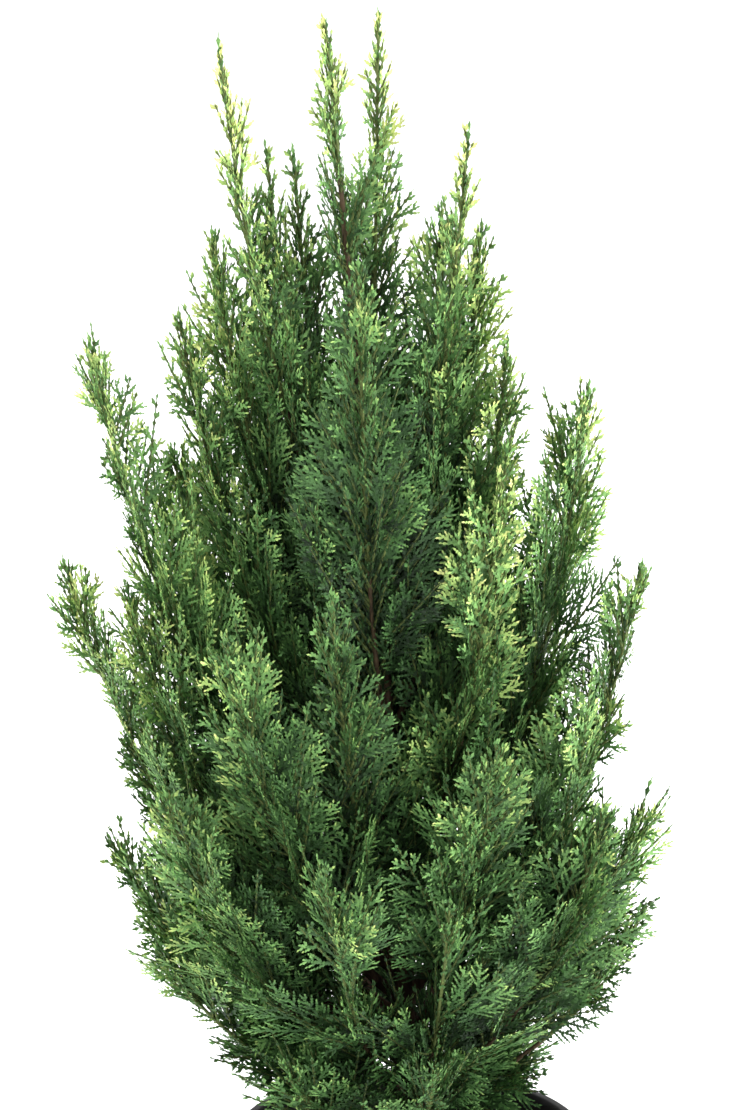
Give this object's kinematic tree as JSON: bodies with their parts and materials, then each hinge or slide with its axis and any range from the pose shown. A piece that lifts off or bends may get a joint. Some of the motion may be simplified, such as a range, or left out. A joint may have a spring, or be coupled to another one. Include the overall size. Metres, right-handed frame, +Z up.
{
  "type": "potted cypress",
  "caption": "Young cypress in a round nursery pot: a slender leaning trunk with ascending plumes of flat, toothed sprays and a group of leaders at the top.",
  "frame": {"origin": "centre of the pot's flat underside", "axes": "+Z up along the pot's axis, +X to the right of the picture's view, -Y towards its camera"},
  "size_m": [0.178, 0.1477, 0.4203],
  "materials": {
    "pot": "satin black",
    "compost": "matt dark brown",
    "bark": "matt brown",
    "foliage": "matt green"
  },
  "bodies": {
    "root": {"bough_low_back_left": "bark", "bough_low_back_right": "bark", "bough_low_front": "bark", "bough_low_front_left": "bark", "bough_low_front_right": "bark", "bough_low_left": "bark", "bough_low_right": "bark", "bough_mid_back": "bark", "bough_mid_back_left": "bark", "bough_mid_back_right": "bark", "bough_mid_front_left": "bark", "bough_mid_front_right": "bark", "bough_mid_left": "bark", "bough_mid_right": "bark", "foliage_back_spire": "foliage", "foliage_leader": "foliage", "foliage_left_leader": "foliage", "foliage_left_spire": "foliage", "foliage_low_back_left": "foliage", "foliage_low_back_right": "foliage", "foliage_low_front": "foliage", "foliage_low_front_centre": "foliage", "foliage_low_front_left": "foliage", "foliage_low_front_right": "foliage", "foliage_low_inner_left": "foliage", "foliage_low_left": "foliage", "foliage_low_right": "foliage", "foliage_mid_back": "foliage", "foliage_mid_back_left": "foliage", "foliage_mid_back_right": "foliage", "foliage_mid_front": "foliage", "foliage_mid_front_left": "foliage", "foliage_mid_front_right": "foliage", "foliage_mid_left": "foliage", "foliage_mid_right": "foliage", "foliage_right_leader": "foliage", "foliage_right_spire": "foliage", "foliage_skirt_back": "foliage", "foliage_skirt_back_left": "foliage", "foliage_skirt_back_right": "foliage", "foliage_skirt_far_right": "foliage", "foliage_skirt_front": "foliage", "foliage_skirt_front_left": "foliage", "foliage_skirt_front_right": "foliage", "foliage_skirt_left": "foliage", "foliage_skirt_right": "foliage", "foliage_upper_back_left": "foliage", "foliage_upper_back_right": "foliage", "foliage_upper_far_left": "foliage", "foliage_upper_far_right": "foliage", "foliage_upper_front": "foliage", "foliage_upper_front_right": "foliage", "foliage_upper_left": "foliage", "foliage_upper_right": "foliage", "pot": "pot", "soil": "compost", "trunk": "bark"}
  },
  "joints": []
}
